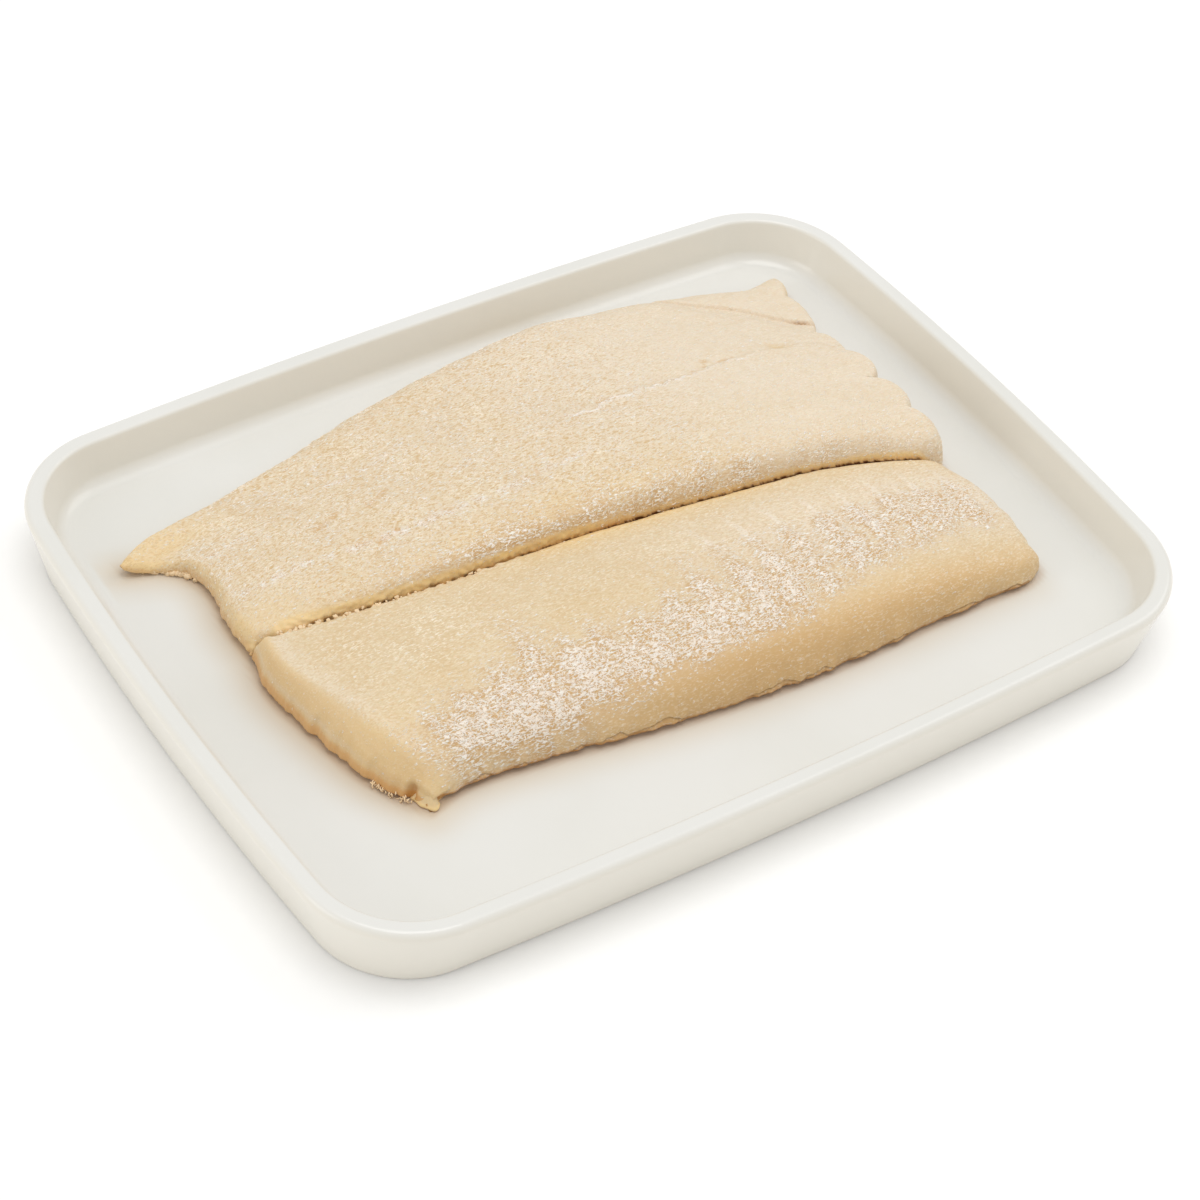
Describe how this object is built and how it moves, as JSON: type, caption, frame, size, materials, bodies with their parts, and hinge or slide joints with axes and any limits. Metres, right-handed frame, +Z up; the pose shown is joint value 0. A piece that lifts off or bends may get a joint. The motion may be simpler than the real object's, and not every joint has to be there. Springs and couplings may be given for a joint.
{
  "type": "plate of salt cod fillet",
  "caption": "Shallow white tray with rounded corners and an upright rim, holding thick salted cod loins laid side by side with their edges touching.",
  "frame": {"origin": "middle of the tray's base, on the surface it stands on", "axes": "+X along the tray's long sides, +Y from the front fillet to the back fillet, +Z up out of the tray"},
  "size_m": [0.28, 0.2112, 0.0287],
  "materials": {
    "glaze": "smooth satin-gloss white glaze",
    "salted_fish": "damp fibrous flesh with a dry frost of salt"
  },
  "bodies": {
    "root": {"plate": "glaze", "fillet_back": "salted_fish", "fillet_front": "salted_fish"}
  },
  "joints": []
}
